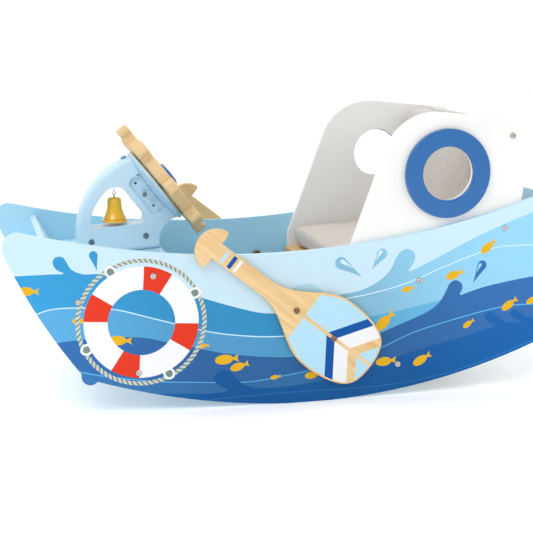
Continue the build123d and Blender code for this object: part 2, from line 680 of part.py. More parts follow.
def paddle_nuts():
    """Round cap nuts on the inner face of the side panels."""
    nuts = []
    for side in (PORT, STARBOARD):
        for place in paddle_bolt_places():
            nut = Cylinder(7, 7, align=(Align.CENTER, Align.CENTER, Align.MAX))
            nut = fillet(nut.edges().sort_by(Axis.Z)[0], 2)
            nut -= Pos(0, 0, -2.1) * Cylinder(SCREW_R + BORE_GAP, 4.4)
            nuts.append(to_side(paddle_plane(side, -PANEL) * place * nut, side))
    return group(nuts)


# ---- fasteners ----------------------------------------------------------------------------------------
def hull_screws(side):
    return group([to_side(plane * screw(HULL_SCREW_LENGTH), side) for plane in hull_screw_planes()])


def cabin_screws():
    return group([to_side(cabin_screw_plane() * screw(HULL_SCREW_LENGTH), s) for s in (PORT, STARBOARD)])


def console_screws():
    screws = [console_screw_plane(x, z, FIN_HALF) * screw(2 * FIN_HALF - 6) for x, z in CONSOLE_SCREWS]
    x, z = dash_point(DASH_BOSSES[1], DASH_BOSS_OUT)
    screws.append(console_screw_plane(x, z, POCKET_FLOOR) * screw(2 * POCKET_FLOOR - 6, 1.8, 3.6))
    return group(screws)


def console_foot_screws():
    """Screws up through the foredeck into the two halves of the console."""
    screws = []
    for half in (PORT, STARBOARD):
        for x in CONSOLE_FOOT_SCREWS:
            under = Pos(x, half * CONSOLE_FOOT_Y, DECK_TOP - DECK_T) * Rot(180, 0, 0)
            screws.append(under * screw(DECK_T + 14))
    return group(screws)


def weight_screws():
    return group([place * screw(WEIGHT_T + 12) for place in weight_screw_places()])


# ---- assembly -----------------------------------------------------------------------------------------
for name, side in SIDES.items():
    nodes[f"{name}_hull_panel"] = hull_panel(side)
    nodes[f"{name}_cabin_side"] = cabin_side(side)
    nodes[f"{name}_porthole_ring"] = porthole_ring(side)
    nodes[f"console_{name}_half"] = console_half(side)
    nodes[f"{name}_paddle"] = paddle(side)
    nodes[f"{name}_hull_screws"] = hull_screws(side)

nodes["bow_board"] = bow_board()
nodes["stern_board"] = stern_board()
nodes["foredeck"] = foredeck()
nodes["floor_board"] = floor_board()
nodes["stretcher"] = stretcher()
nodes["bow_weight"] = bow_weight()
nodes["weight_screws"] = weight_screws()
nodes["back_board"] = back_board()
nodes["back_cushion"] = back_cushion()
nodes["seat_board"] = seat_board()
nodes["seat_front_rail"] = seat_rail(SEAT_FRONT + 2)
nodes["seat_rear_rail"] = seat_rail(200)
nodes["seat_cushion"] = seat_cushion()
nodes["dash"] = dash()
nodes["top_plug"] = top_plug()
nodes["steering_wheel"] = steering_wheel()
nodes["wheel_axle"] = axle()
nodes["wheel_washer"] = wheel_washer()
nodes["wheel_hub_cap"] = hub_cap()
nodes["bell_string"] = plumb * bell_string()
nodes["bell"] = plumb * bell()
nodes["bell_clapper"] = plumb * clapper()
nodes["paddle_spacers"] = paddle_spacers()
nodes["paddle_bolts"] = paddle_bolts()
nodes["paddle_nuts"] = paddle_nuts()
nodes["cabin_screws"] = cabin_screws()
nodes["console_screws"] = console_screws()
nodes["console_foot_screws"] = console_foot_screws()

# Turn the boat to its resting attitude about the rocker's centre, and put the origin on the floor
# below the middle of its length.
rest = Rot(0, -REST_PITCH, 0) * Pos(0, 0, -ROCKER_R)
ends = (rest * nodes["port_hull_panel"]).bounding_box()
to_row = Pos(-(ends.min.X + ends.max.X) / 2, 0, -ends.min.Z) * rest

os.makedirs("parts", exist_ok=True)
for name, solid in nodes.items():
    export_step(to_row * solid, f"parts/{name}.step")
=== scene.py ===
import json
import math

import bmesh
import bpy
import numpy as np
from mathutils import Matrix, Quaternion, Vector
from mathutils.geometry import delaunay_2d_cdt


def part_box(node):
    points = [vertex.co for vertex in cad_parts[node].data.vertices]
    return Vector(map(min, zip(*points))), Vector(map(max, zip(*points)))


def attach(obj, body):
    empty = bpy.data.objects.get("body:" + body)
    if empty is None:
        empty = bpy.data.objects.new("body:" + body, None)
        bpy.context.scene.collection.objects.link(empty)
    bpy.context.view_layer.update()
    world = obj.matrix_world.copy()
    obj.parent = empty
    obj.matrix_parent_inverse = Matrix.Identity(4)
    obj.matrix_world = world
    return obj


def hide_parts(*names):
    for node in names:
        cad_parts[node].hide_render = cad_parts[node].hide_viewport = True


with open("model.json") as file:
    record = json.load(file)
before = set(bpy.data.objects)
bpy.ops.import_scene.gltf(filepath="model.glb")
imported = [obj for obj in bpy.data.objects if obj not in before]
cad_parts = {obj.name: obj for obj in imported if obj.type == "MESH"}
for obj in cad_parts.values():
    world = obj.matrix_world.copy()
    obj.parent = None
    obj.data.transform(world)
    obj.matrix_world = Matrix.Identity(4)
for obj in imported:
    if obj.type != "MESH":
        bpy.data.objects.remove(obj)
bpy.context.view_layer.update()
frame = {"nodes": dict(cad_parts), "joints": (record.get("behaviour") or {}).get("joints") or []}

nodes = frame["nodes"]
PORT, STARBOARD = -1, 1
SIDES = {"port": PORT, "starboard": STARBOARD}

# ---- the boat's own level frame, in millimetres ---------------------------------------------------
# The hull is drawn level, and the empty boat rests a few degrees bow down in the shared frame.
PITCH = math.radians(4.1)
SHIFT_X, LIFT_Z = -15.652738, 999.387312    # bring the tilted hull's middle to x = 0 and its foot to z = 0
ARC_R = 1000.0
HALF_WIDTH = 180.0
BEND_X, BEND_Z, BEND_R = -130.0, 150.0, 900.0
BEND_RAKE, BEND_ANGLE = math.radians(22.0), math.radians(3.5)
PADDLE_X, PADDLE_Z, PADDLE_ANGLE = -83.0, 149.0, math.radians(-42.8)
PADDLE_FACE = 11.0          # the paddle's outer face above the hull's
STARBOARD_PADDLE_SHIFT = (25.0, 20.0)


def row(x, y, z):
    """A point of the level frame, in the shared frame and in metres."""
    c, s = math.cos(PITCH), math.sin(PITCH)
    z -= ARC_R
    return Vector((x * c - z * s + SHIFT_X, y, x * s + z * c + LIFT_Z)) / 1000


def level(point):
    """The x and z, in millimetres in the level frame, of a point of the shared frame."""
    c, s = math.cos(PITCH), math.sin(PITCH)
    x, z = point.x * 1000 - SHIFT_X, point.z * 1000 - LIFT_Z
    return x * c + z * s, z * c - x * s + ARC_R


def along_bend(x, z):
    """Distance sternward of the line where the side panels start to bend."""
    return (x - BEND_X) * math.cos(BEND_RAKE) + (z - BEND_Z) * math.sin(BEND_RAKE)


def hull_point(x, z, lift, side):
    """A point above the hull's outer face, by lift millimetres."""
    u = along_bend(x, z)
    angle = 0.0 if u >= 0 else min(BEND_ANGLE, -u / BEND_R)
    y = BEND_R - HALF_WIDTH - BEND_R * math.cos(angle)
    if angle == BEND_ANGLE:
        y += (-u - BEND_R * math.sin(angle)) * math.tan(angle)
    slope = -math.sin(angle) * lift
    x += slope * math.cos(BEND_RAKE)
    z += slope * math.sin(BEND_RAKE)
    return row(x, -side * (y - math.cos(angle) * lift), z)


def paddle_origin(side):
    if side == PORT:
        return PADDLE_X, PADDLE_Z
    return PADDLE_X + STARBOARD_PADDLE_SHIFT[0], PADDLE_Z + STARBOARD_PADDLE_SHIFT[1]


def paddle_point(a, up, lift, side):
    """A point above the paddle's face: a runs from the upper bolt to the blade, up across it."""
    x, z = paddle_origin(side)
    x += a * math.cos(PADDLE_ANGLE) - up * math.sin(PADDLE_ANGLE)
    z += a * math.sin(PADDLE_ANGLE) + up * math.cos(PADDLE_ANGLE)
    return row(x, side * (HALF_WIDTH + PADDLE_FACE + lift), z)


def on_paddle(point, side):
    x, z = level(point)
    x0, z0 = paddle_origin(side)
    c, s = math.cos(PADDLE_ANGLE), math.sin(PADDLE_ANGLE)
    return (x - x0) * c + (z - z0) * s, (z - z0) * c - (x - x0) * s


# ---- materials ------------------------------------------------------------------------------------
def rgb(red, green, blue):
    """A colour given in screen values, as the linear one that shaders use."""
    def linear(v):
        v /= 255
        return v / 12.92 if v <= 0.04045 else ((v + 0.055) / 1.055) ** 2.4
    return (linear(red), linear(green), linear(blue), 1.0)


MIX_FIRST, MIX_SECOND, MIX_RESULT = 6, 7, 2     # the Mix node's sockets for colours


class Shader:
    """A material with a Principled shader, and the few nodes that the boat's surfaces need."""

    def __init__(self, name, **sockets):
        self.material = bpy.data.materials.new(name)
        self.material.use_nodes = True
        self.tree = self.material.node_tree
        self.bsdf = self.tree.nodes["Principled BSDF"]
        for socket, value in sockets.items():
            self.bsdf.inputs[socket.replace("_", " ")].default_value = value
        self.coords = self.new("ShaderNodeTexCoord").outputs["Object"]

    def new(self, kind, **settings):
        made = self.tree.nodes.new(kind)
        for name, value in settings.items():
            setattr(made, name, value)
        return made

    def put(self, value, socket):
        if isinstance(value, bpy.types.NodeSocket):
            self.tree.links.new(value, socket)
        else:
            socket.default_value = value

    def set(self, socket, value):
        self.put(value, self.bsdf.inputs[socket])

    def noise(self, scale, detail=3.0, vector=None, distortion=0.0):
        made = self.new("ShaderNodeTexNoise")
        self.put(vector or self.coords, made.inputs["Vector"])
        made.inputs["Scale"].default_value = scale
        made.inputs["Detail"].default_value = detail
        made.inputs["Distortion"].default_value = distortion
        return made.outputs["Fac"]

    def math(self, operation, a, b=0.0):
        made = self.new("ShaderNodeMath", operation=operation)
        self.put(a, made.inputs[0])
        self.put(b, made.inputs[1])
        return made.outputs[0]

    def dot(self, vector, direction):
        made = self.new("ShaderNodeVectorMath", operation="DOT_PRODUCT")
        self.put(vector, made.inputs[0])
        made.inputs[1].default_value = direction
        return made.outputs["Value"]

    def scaled(self, fac, low, high, start=0.0, end=1.0):
        """fac from start..end, as low..high."""
        made = self.new("ShaderNodeMapRange")
        self.put(fac, made.inputs["Value"])
        made.inputs["From Min"].default_value = start
        made.inputs["From Max"].default_value = end
        made.inputs["To Min"].default_value = low
        made.inputs["To Max"].default_value = high
        return made.outputs["Result"]

    def mix(self, fac, first, second):
        made = self.new("ShaderNodeMix", data_type="RGBA")
        self.put(fac, made.inputs["Factor"])
        self.put(first, made.inputs[MIX_FIRST])
        self.put(second, made.inputs[MIX_SECOND])
        return made.outputs[MIX_RESULT]

    def bump(self, height, distance, strength=1.0):
        made = self.new("ShaderNodeBump")
        self.put(height, made.inputs["Height"])
        made.inputs["Distance"].default_value = distance
        made.inputs["Strength"].default_value = strength
        self.tree.links.new(made.outputs["Normal"], self.bsdf.inputs["Normal"])

    def normal(self):
        return self.new("ShaderNodeNewGeometry").outputs["Normal"]


def darker(colour, amount):
    return tuple(v * amount for v in colour[:3]) + (1.0,)


# Painted shade: every ink is darkened in a band along the line where the side panels start to bend.
BEND_LINE = row(BEND_X, 0, BEND_Z)
BEND_ACROSS = (math.cos(BEND_RAKE + PITCH), 0.0, math.sin(BEND_RAKE + PITCH))
BEND_SHADE_AT, BEND_SHADE_WIDTH = 0.022, 0.042


def ink(name, colour, shade_darkness):
    """A satin printed colour on smooth board, with painted shade in a band along the bend in the panel."""
    shader = Shader(name, Roughness=0.4, Coat_Weight=0.04, Coat_Roughness=0.2, Specular_IOR_Level=0.14)
    across = shader.dot(shader.coords, BEND_ACROSS)
    centre = BEND_LINE.dot(Vector(BEND_ACROSS)) + BEND_SHADE_AT
    offset = shader.math("ABSOLUTE", shader.math("SUBTRACT", across, centre))
    near = shader.math("SMOOTH_MIN", offset, BEND_SHADE_WIDTH)
    shade = shader.scaled(near, 1.0, 0.0, 0.0, BEND_SHADE_WIDTH)
    blotch = shader.scaled(shader.noise(9, 2), 0.0, 0.35, 0.3, 0.7)
    tone = shader.mix(blotch, colour, darker(colour, 0.93))
    shader.set("Base Color", shader.mix(shade, tone, darker(colour, shade_darkness)))
    shader.bump(shader.noise(420, 2), 0.00005, 0.35)
    return shader.material


def painted(name, colour, roughness=0.45, edge=None, faces=None):
    """Sprayed paint on board: faint orange peel, and soft changes of tone. A colour for the edges
    shows where the surface turns away from the direction in faces."""
    shader = Shader(name, Coat_Weight=0.12, Coat_Roughness=0.3)
    tone = shader.mix(shader.scaled(shader.noise(7, 3), 0, 1, 0.35, 0.65), colour, darker(colour, 0.95))
    if edge:
        facing = shader.math("ABSOLUTE", shader.dot(shader.normal(), faces))
        tone = shader.mix(shader.scaled(facing, 1, 0, 0.55, 0.9), tone, edge)
    shader.set("Base Color", tone)
    shader.set("Roughness", shader.scaled(shader.noise(60, 2), roughness - 0.05, roughness + 0.06))
    shader.bump(shader.noise(650, 2), 0.00006, 0.4)
    return shader.material


PLY = 0.0021                # one light and one dark ply together, metres


def plywood(name, grain, across, light=rgb(236, 206, 156), dark=rgb(216, 172, 112)):
    """Birch plywood, sanded and oiled: long grain along one direction on its faces, and the
    plies in light and dark bands on its edges, across the other direction."""
    shader = Shader(name, Specular_IOR_Level=0.35)
    along = Vector(grain).normalized()
    normal = Vector(across).normalized()
    side = along.cross(normal)
    lanes = shader.new("ShaderNodeCombineXYZ")
    for axis, (direction, scale) in enumerate(((along, 9.0), (side, 150.0), (normal, 30.0))):
        value = shader.math("MULTIPLY", shader.dot(shader.coords, direction), scale)
        shader.put(value, lanes.inputs[axis])
    fibre = shader.noise(1.0, 4, lanes.outputs[0], 0.6)
    figure = shader.noise(0.22, 2, lanes.outputs[0], 1.6)
    face = shader.mix(shader.scaled(fibre, 0, 1, 0.32, 0.7), light, dark)
    face = shader.mix(shader.scaled(figure, 0, 0.4, 0.45, 0.75), face, darker(dark, 0.85))
    through = shader.math("MULTIPLY", shader.dot(shader.coords, normal), 2 * math.pi / PLY)
    band = shader.scaled(shader.math("SINE", through), 0, 1, -0.3, 0.6)
    plies = shader.mix(band, darker(light, 0.97), darker(dark, 0.9))
    facing = shader.math("ABSOLUTE", shader.dot(shader.normal(), normal))
    shader.set("Base Color", shader.mix(shader.scaled(facing, 0, 1, 0.45, 0.7), plies, face))
    shader.set("Roughness", shader.scaled(fibre, 0.42, 0.58, 0.3, 0.7))
    shader.bump(fibre, 0.00012, 0.35)
    return shader.material


def moulded(name, colour, roughness=0.4, coat=0.1):
    """Injection-moulded plastic with a fine spark-eroded grain."""
    shader = Shader(name, Coat_Weight=coat, Coat_Roughness=0.12)
    shader.set("Base Color", shader.mix(shader.noise(14, 2), colour, darker(colour, 0.95)))
    shader.set("Roughness", shader.scaled(shader.noise(220, 2), roughness - 0.05, roughness + 0.05))
    shader.bump(shader.noise(1500, 2), 0.00003, 0.3)
    return shader.material


def metal(name, colour, roughness=0.3, tarnish=0.6):
    """Plated steel, dulled a little in patches."""
    shader = Shader(name, Metallic=0.9)
    patches = shader.scaled(shader.noise(260, 3), 0, 1, 0.35, 0.65)
    shader.set("Base Color", shader.mix(patches, colour, darker(colour, tarnish)))
    shader.set("Roughness", shader.scaled(shader.noise(500, 2), roughness - 0.06, roughness + 0.12))
    shader.bump(shader.noise(900, 2), 0.00004, 0.3)
    return shader.material


def woven(name, colour, thread=0.0011):
    """Plain-weave cloth. Its threads run along x and y on level faces, and up the others."""
    shader = Shader(name, Roughness=0.92, Sheen_Weight=0.3, Sheen_Roughness=0.5, Specular_IOR_Level=0.2)
    turns = 2 * math.pi / thread
    wavy = shader.math("MULTIPLY", shader.noise(90, 2), 1.4)
    over = []
    for direction in ((1, 0, 0.3), (0, 1, 0), (0.15, 0.1, 1)):
        phase = shader.math("MULTIPLY", shader.dot(shader.coords, direction), turns)
        over.append(shader.math("SINE", shader.math("ADD", phase, wavy)))
    weave = shader.math("ADD", shader.math("MULTIPLY", over[0], over[1]), over[2])
    slub = shader.scaled(shader.noise(160, 3), 0, 1, 0.35, 0.65)
    tone = shader.mix(slub, colour, darker(colour, 0.88))
    # Painted shade: the cloth is darker in the hollows between its threads.
    thread_gap_shade = shader.scaled(weave, 0.35, 0, -1.5, 1.2)
    shader.set("Base Color", shader.mix(thread_gap_shade, tone, darker(colour, 0.7)))
    shader.bump(weave, 0.00018, 0.5)
    return shader.material


# ---- outlines in the plane ------------------------------------------------------------------------
def smooth(points, step=3.0):
    """Points of an even curve through the given ones."""
    pts = [Vector(p) for p in points]
    ends = [pts[0] * 2 - pts[1]] + pts + [pts[-1] * 2 - pts[-2]]
    out = []
    for a, b, c, d in zip(ends, ends[1:], ends[2:], ends[3:]):
        count = max(1, round((c - b).length / step))
        for i in range(count):
            t = i / count
            out.append(0.5 * (2 * b + (c - a) * t + (2 * a - 5 * b + 4 * c - d) * t * t
                              + (3 * b - a - 3 * c + d) * t ** 3))
    return [tuple(p) for p in out + [pts[-1]]]


def ribbon(points, half):
    """A smooth line drawn with an even width, as an outline."""
    line = [Vector(p) for p in smooth(points, 5.0)]
    left, right = [], []
    for i, p in enumerate(line):
        along = (line[min(i + 1, len(line) - 1)] - line[max(i - 1, 0)]).normalized()
        across = Vector((-along.y, along.x)) * half
        left.append(tuple(p + across))
        right.append(tuple(p - across))
    return left + right[::-1]


def arc(centre, radius, start, end, step=3.0):
    """Points from one angle to another, in degrees."""
    count = max(2, round(abs(math.radians(end - start)) * radius / step))
    angles = [math.radians(start + (end - start) * i / count) for i in range(count + 1)]
    return [(centre[0] + radius * math.cos(t), centre[1] + radius * math.sin(t)) for t in angles]


def inside(points, polygon):
    """Which of the points lie in the polygon."""
    x, z = points[:, :1], points[:, 1:]
    a = np.array(polygon)
    b = np.roll(a, -1, axis=0)
    crosses = (a[:, 1] > z) != (b[:, 1] > z)
    rise = np.where(b[:, 1] == a[:, 1], 1.0, b[:, 1] - a[:, 1])
    at = a[:, 0] + (z - a[:, 1]) * (b[:, 0] - a[:, 0]) / rise
    return np.count_nonzero(crosses & (x < at), axis=1) % 2 == 1


def face_loops(node, direction, least, flatten):
    """The outlines of a node's face that looks along direction, each as points from flatten. least
    is the smallest cosine between that direction and a triangle of the face."""
    mesh = bmesh.new()
    mesh.from_mesh(nodes[node].data)
    bmesh.ops.remove_doubles(mesh, verts=mesh.verts, dist=1e-6)
    mesh.normal_update()
    facing = {f for f in mesh.faces if f.normal.dot(Vector(direction)) > least}
    rim = {}
    for edge in mesh.edges:
        if sum(f in facing for f in edge.link_faces) == 1:
            first, second = edge.verts
            for v, w in ((first, second), (second, first)):
                rim.setdefault(v, []).append(w)
    loops, seen = [], set()
    for first in rim:
        if first in seen:
            continue
        loop, at = [], first
        while at is not None:
            seen.add(at)
            loop.append(flatten(at.co))
            at = next((w for w in rim[at] if w not in seen), None)
        if len(loop) > 2:
            loops.append(loop)
    mesh.free()
    return loops


FILM_TOP, FILM_UNDER = 0.16, 0.05       # the printed layer above and below the board's face, mm
LINE_HALF = 0.85            # half width of a printed line, mm


def film(name, loops, shapes, base, place, side, inks, cuts=()):
    """A thin printed layer inside loops. Each shape is an outline and an ink, and later shapes
    lie over earlier ones. Where there is no base ink, only the shapes are printed."""
    points, edges = [], []
    for loop in list(loops) + [s for s, _ in shapes]:
        first = len(points)
        points += [Vector(p) for p in loop]
        count = len(loop)
        edges += [(first + i, first + (i + 1) % count) for i in range(count)]
    for start, end in cuts:
        edges.append((len(points), len(points) + 1))
        points += [Vector(start), Vector(end)]
    flat, _, faces, *_ = delaunay_2d_cdt(points, edges, [], 0, 1e-4)
    where = np.array([tuple(p) for p in flat])
    centres = np.array([where[list(f)].mean(axis=0) for f in faces])
    kept = np.zeros(len(faces), bool)
    for loop in loops:
        kept ^= inside(centres, loop)
    colour = np.full(len(faces), -1 if base is None else inks.index(base))
    for shape, name_of_ink in shapes:
        box = np.array(shape)
        near = np.all((centres > box.min(axis=0)) & (centres < box.max(axis=0)), axis=1)
        hit = np.flatnonzero(near)
        if len(hit):
            hit = hit[inside(centres[hit], shape)]
            colour[hit] = inks.index(name_of_ink) if name_of_ink else -1
    mesh = bmesh.new()
    tops, bottoms = {}, {}
    for f, c, keep in zip(faces, colour, kept):
        if not keep or c < 0:
            continue
        for i in f:
            if i not in tops:
                tops[i] = mesh.verts.new(place(*flat[i], FILM_TOP, side))
                bottoms[i] = mesh.verts.new(place(*flat[i], -FILM_UNDER, side))
        order = f if side == PORT else f[::-1]
        mesh.faces.new([tops[i] for i in order]).material_index = int(c)
        mesh.faces.new([bottoms[i] for i in order[::-1]]).material_index = int(c)
    rim = [e for e in mesh.edges if len(e.link_faces) == 1]
    under = {tops[i]: bottoms[i] for i in tops}
    for edge in rim:
        v, w = edge.verts
        if v in under:
            face = mesh.faces.new((v, w, under[w], under[v]))
            face.material_index = edge.link_faces[0].material_index
    bmesh.ops.recalc_face_normals(mesh, faces=mesh.faces)
    data = bpy.data.meshes.new(name)
    mesh.to_mesh(data)
    mesh.free()
    made = bpy.data.objects.new(name, data)
    bpy.context.scene.collection.objects.link(made)
    for ink_name in inks:
        data.materials.append(ink_materials[ink_name])
    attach(made, "boat")
    return made


# ---- inks ---------------------------------------------------------------------------------------
INKS = {     # screen colours
    "pale": (203, 231, 247), "crest": (176, 218, 240), "sea": (58, 163, 222), "sea_light": (93, 176, 228),
    "deep": (52, 113, 180), "deep_low": (58, 124, 186), "navy": (14, 101, 176), "surf": (152, 214, 246),
    "surf_low": (110, 194, 238), "foam": (206, 236, 250), "current": (98, 188, 238),
    "undertow": (44, 128, 200), "gold": (232, 180, 28), "buoy_white": (246, 247, 252),
    "buoy_red": (228, 56, 28), "rope_dark": (122, 143, 134), "rope_light": (203, 210, 200),
    "gleam": (214, 240, 252),
    "blade_blue": (184, 226, 246), "blade_navy": (0, 84, 164), "blade_white": (244, 245, 246),
}
FLAT_INKS = ("pale", "crest", "gold", "buoy_white", "buoy_red", "rope_dark", "rope_light", "blade_blue",
             "blade_navy", "blade_white", "gleam", "foam")
SHADE_FLAT, SHADE_DEEP = 0.93, 0.7      # how dark an ink is where the shade along the bend is deepest
ink_materials = {
    name: ink("ink_" + name, rgb(*colour), SHADE_FLAT if name in FLAT_INKS else SHADE_DEEP)
    for name, colour in INKS.items()
}

# ---- the print on the hull --------------------------------------------------------------------------
FLOOR_OF_PRINT = -60.0
SEAM_TOP, SEAM_FOOT = (-99.0, 164.0), (126.0, -60.0)   # the two halves of the print meet under the paddle
STERN_END = 460.0


def bow_fill(top):
    curve = smooth(top)
    x, z = curve[-1]
    seam = [(SEAM_TOP[0] + (SEAM_TOP[1] - z), z), SEAM_FOOT]
    return [(curve[0][0] - 60, curve[0][1])] + curve + seam + [(curve[0][0] - 60, FLOOR_OF_PRINT)]


def stern_fill(top):
    curve = smooth(top)
    z = curve[0][1]
    return curve + [(STERN_END, FLOOR_OF_PRINT), SEAM_FOOT, (SEAM_TOP[0] + (SEAM_TOP[1] - z), z)]


def drop(head, radius, tip):
    """A teardrop from a round head to a point."""
    h, t = Vector(head), Vector(tip)
    away = (h - t).normalized()
    across = Vector((-away.y, away.x))
    half = [(h + (away * math.cos(a) + across * math.sin(a)) * radius)
            for a in [math.radians(d) for d in range(-105, 106, 15)]]
    waist = (h * 0.45 + t * 0.55)
    side = across * radius * 0.42
    return [tuple(p) for p in [waist - side] + half + [waist + side, t]]


def fish(x, z, length, tilt):
    """A fish that swims towards the bow, its tail towards the stern."""
    turn = math.radians(tilt)
    body = [(0.38 * (1 - math.cos(t)) - 0.5, 0.21 * math.sin(t))
            for t in np.linspace(0, math.pi * 0.93, 12)]
    tail = [(0.5, 0.17), (0.43, 0.0)]
    half = body + tail
    outline = half + [(a, -b) for a, b in half[-2:0:-1]]
    return [(x + length * (a * math.cos(turn) - b * math.sin(turn)),
             z + length * (a * math.sin(turn) + b * math.cos(turn))) for a, b in outline]


# The waves' outlines and lines, as x and z in the level frame.
WAVE_BOW = [(-481, 246), (-431, 243), (-414, 242), (-424, 249), (-428, 260), (-423, 267), (-413, 266),
            (-408, 257), (-402, 246), (-386, 238), (-357, 234), (-290, 212), (-219, 183), (-181, 167),
            (-138, 151), (-112, 146)]
LINE_BOW = [(-470, 183), (-444, 191), (-412, 191), (-351, 182), (-291, 160), (-222, 134), (-179, 122),
            (-123, 112), (-60, 108)]
DEEP_BOW = [(-460, 136), (-437, 141), (-405, 142), (-343, 139), (-306, 133), (-277, 123), (-234, 109),
            (-199, 97), (-148, 85), (-98, 77), (-60, 76)]
CURRENT_BOW = [(-425, 101), (-403, 93), (-364, 81), (-300, 66), (-237, 56), (-175, 48), (-144, 47),
               (-112, 49), (-76, 51), (-20, 58), (53, 73)]
NAVY_BOW = [(-340, 52), (-289, 45), (-251, 40), (-212, 36), (-193, 38), (-205, 46), (-213, 58),
            (-208, 67), (-198, 70), (-187, 65), (-175, 49), (-165, 42), (-149, 36), (-110, 32),
            (-40, 34), (60, 40)]
SURF = [(-45, 159), (-9, 162), (18, 164), (39, 170), (58, 180), (71, 192), (80, 208), (88, 216),
        (98, 219), (107, 214), (110, 205), (106, 195), (99, 184), (119, 190), (144, 199), (204, 222),
        (267, 242), (304, 252), (380, 276), (460, 300)]
LINE_STERN = [(-20, 154), (32, 157), (93, 166), (155, 184), (218, 200), (250, 204), (303, 200),
              (400, 184), (450, 172)]
SURF_LOW = [(0, 118), (39, 123), (75, 125), (109, 129), (147, 133), (170, 134)]
DEEP_STERN = [(10, 84), (49, 95), (77, 103), (105, 111), (130, 120), (146, 131), (157, 147), (163, 157),
              (173, 161), (182, 155), (183, 146), (179, 137), (200, 141), (231, 146), (301, 151), (380, 150),
              (460, 144)]
CURRENT_STERN = [(20, 66), (53, 73), (104, 89), (182, 102), (246, 109), (299, 107), (360, 98), (450, 84)]
NAVY_STERN = [(37, 44), (71, 53), (102, 59), (149, 66), (197, 73), (233, 80), (223, 89), (218, 97),
              (222, 103), (230, 104), (238, 97), (246, 88), (262, 82), (277, 81), (265, 89), (260, 97),
              (266, 102), (275, 99), (284, 90), (306, 84), (370, 82), (460, 84)]
UNDERTOW = [(-221, 27), (-164, 25), (-96, 22), (-1, 14), (69, 11), (115, 13), (163, 18), (210, 27),
            (259, 39), (297, 49), (350, 66), (430, 98)]
# Each fish: its middle, its length, and its tilt in degrees.
FISH = [(-466, 222, 30, -8), (-399, 170, 22, -8), (-344, 134, 34, -8), (-225, 111, 20, 0),
        (-191, 86, 36, 0), (-173, 73, 29, 12), (229, 207, 30, 35), (172, 170, 30, 15), (96, 157, 21, 8),
        (56, 112, 38, 40), (191, 90, 21, 30), (260, 112, 30, 30), (298, 114, 22, 28), (54, 49, 33, 0),
        (112, 44, 32, 25), (-120, 49, 16, 5), (-62, 44, 26, 0)]
RING_AT, RING_R, RING_HOLE = (-311.0, 157.0), 83.5, 49.0
RED_HALF, RED_AT = 14.8, 67.5           # half width and first place of the red sectors, degrees
ROPE_R, ROPE_HALF, STRANDS = 92.0, 2.9, 76
STRAND_PROUD, STRAND_LEAN, STRAND_WIDE = 0.3, 0.62, 2.9    # mm, strands, degrees
STRAND_FOOT = (2.6, -0.2)   # the inner end of a strand, degrees
LOOP_R, LOOP_AT, LOOP_APART = 88.0, 115.0, 91.5            # the rope's four loops: mm, degrees, degrees


def annulus(centre, inner, outer):
    """A ring as one outline, cut open along a line of no width."""
    return arc(centre, outer, 0, 360) + arc(centre, inner, 360, 0)


def rope_round_ring():
    """The rope round the life ring, and the four loops that it passes through."""
    shapes = [(annulus(RING_AT, ROPE_R - ROPE_HALF, ROPE_R + ROPE_HALF), "rope_dark")]
    inner, outer = ROPE_R - ROPE_HALF - STRAND_PROUD, ROPE_R + ROPE_HALF + STRAND_PROUD
    for k in range(STRANDS):
        turn = 360 * k / STRANDS
        lean = turn + 360 / STRANDS * STRAND_LEAN
        strand = arc(RING_AT, outer, lean, lean + STRAND_WIDE)
        strand += arc(RING_AT, inner, turn + STRAND_FOOT[0], turn + STRAND_FOOT[1])
        shapes.append((strand, "rope_light"))
    for k in range(4):
        turn = math.radians(LOOP_AT - LOOP_APART * k)
        out = Vector((math.cos(turn), math.sin(turn)))
        along = Vector((-out.y, out.x))
        centre = Vector(RING_AT) + out * LOOP_R
        for reach, width, colour in ((9.5, 8.5, "buoy_white"), (6.0, 5.2, "rope_dark")):
            loop = [tuple(centre + out * reach * math.sin(t) + along * width * math.cos(t))
                    for t in np.linspace(0, 2 * math.pi, 22)[:-1]]
            shapes.append((loop, colour))
    return shapes


def life_ring():
    """The life ring, in four red and four white sectors."""
    shapes = []
    for k in range(4):
        middle = RED_AT - 90 * k
        for start, end, colour in ((middle - RED_HALF, middle + RED_HALF, "buoy_red"),
                                   (middle + RED_HALF, middle + 90 - RED_HALF, "buoy_white")):
            sector = arc(RING_AT, RING_R, start, end) + arc(RING_AT, RING_HOLE, end, start)
            shapes.append((sector, colour))
    return shapes


def waves():
    """The sea behind everything else. Each wave lies over the ones before it."""
    return [
        (smooth([(-100, 150), (-84, 180), (-63, 185), (-46, 178), (-20, 150)]), "crest"),
        (bow_fill(WAVE_BOW), "sea"),
        (bow_fill(LINE_BOW), "sea_light"),
        (ribbon(LINE_BOW, LINE_HALF), "foam"),
        (stern_fill(SURF), "surf"),
        (ribbon(LINE_STERN, LINE_HALF), "foam"),
        (stern_fill(SURF_LOW + [(200, 110), (STERN_END, 90)]), "surf_low"),
        (bow_fill(DEEP_BOW), "deep"),
        (stern_fill(DEEP_STERN), "deep"),
        (bow_fill(CURRENT_BOW), "deep_low"),
        (ribbon(CURRENT_BOW, LINE_HALF), "current"),
        (ribbon(CURRENT_STERN, LINE_HALF), "current"),
        (bow_fill(NAVY_BOW), "navy"),
        (stern_fill(NAVY_STERN), "navy"),
        (ribbon(UNDERTOW, LINE_HALF * 0.8), "undertow"),
    ]


def splashes():
    """Drops above the waves, then the light in them."""
    return [
        (drop((-370, 264), 6.2, (-367, 241)), "sea"),
        (drop((-7, 210), 9.2, (24, 185)), "surf"),
        (drop((58, 216), 8.0, (40, 194)), "surf"),
        (drop((217, 179), 7.4, (201, 153)), "deep"),
        (drop((-5, 212), 3.0, (12, 199)), "gleam"),
        (drop((56, 219), 2.6, (47, 207)), "gleam"),
        (drop((214, 180), 2.6, (207, 168)), "surf"),
    ]


